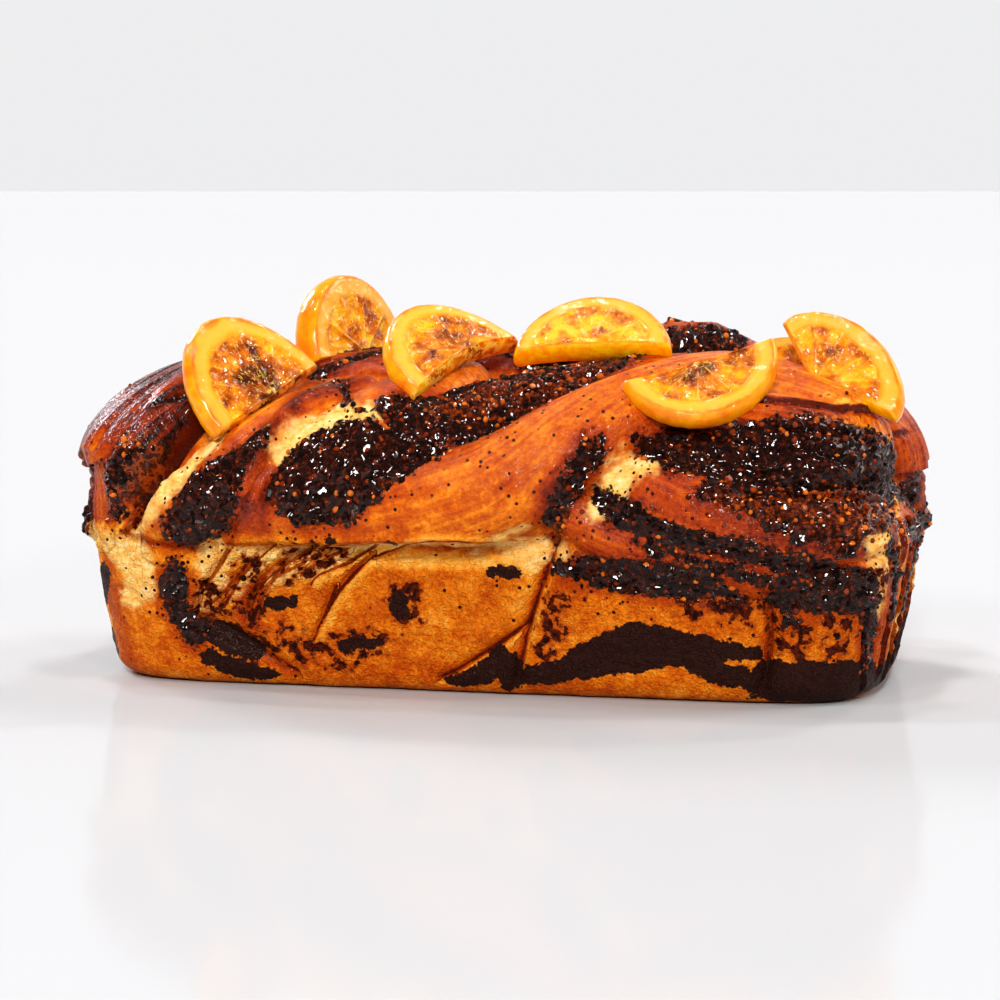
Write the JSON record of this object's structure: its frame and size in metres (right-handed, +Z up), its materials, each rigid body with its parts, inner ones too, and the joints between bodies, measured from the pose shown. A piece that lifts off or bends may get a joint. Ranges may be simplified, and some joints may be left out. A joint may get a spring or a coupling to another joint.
{
  "type": "babka",
  "caption": "Loaf-shaped twisted sweet bread with a chocolate and poppy seed filling, glazed on top and dressed with half slices of candied orange.",
  "frame": {"origin": "middle of the flat foot that the loaf stands on", "axes": "+Z up, +X along the loaf's length, -Y towards its long front side"},
  "size_m": [0.2341, 0.1313, 0.1123],
  "materials": {
    "crust": "baked golden and dark brown crust, with a sugar glaze over the upper part",
    "candied_orange": "translucent candied fruit with a wet gloss"
  },
  "bodies": {
    "root": {"loaf": "crust", "orange_slice_1": "candied_orange", "orange_slice_2": "candied_orange", "orange_slice_3": "candied_orange", "orange_slice_4": "candied_orange", "orange_slice_5": "candied_orange", "orange_slice_6": "candied_orange", "orange_slice_7": "candied_orange"}
  },
  "joints": []
}
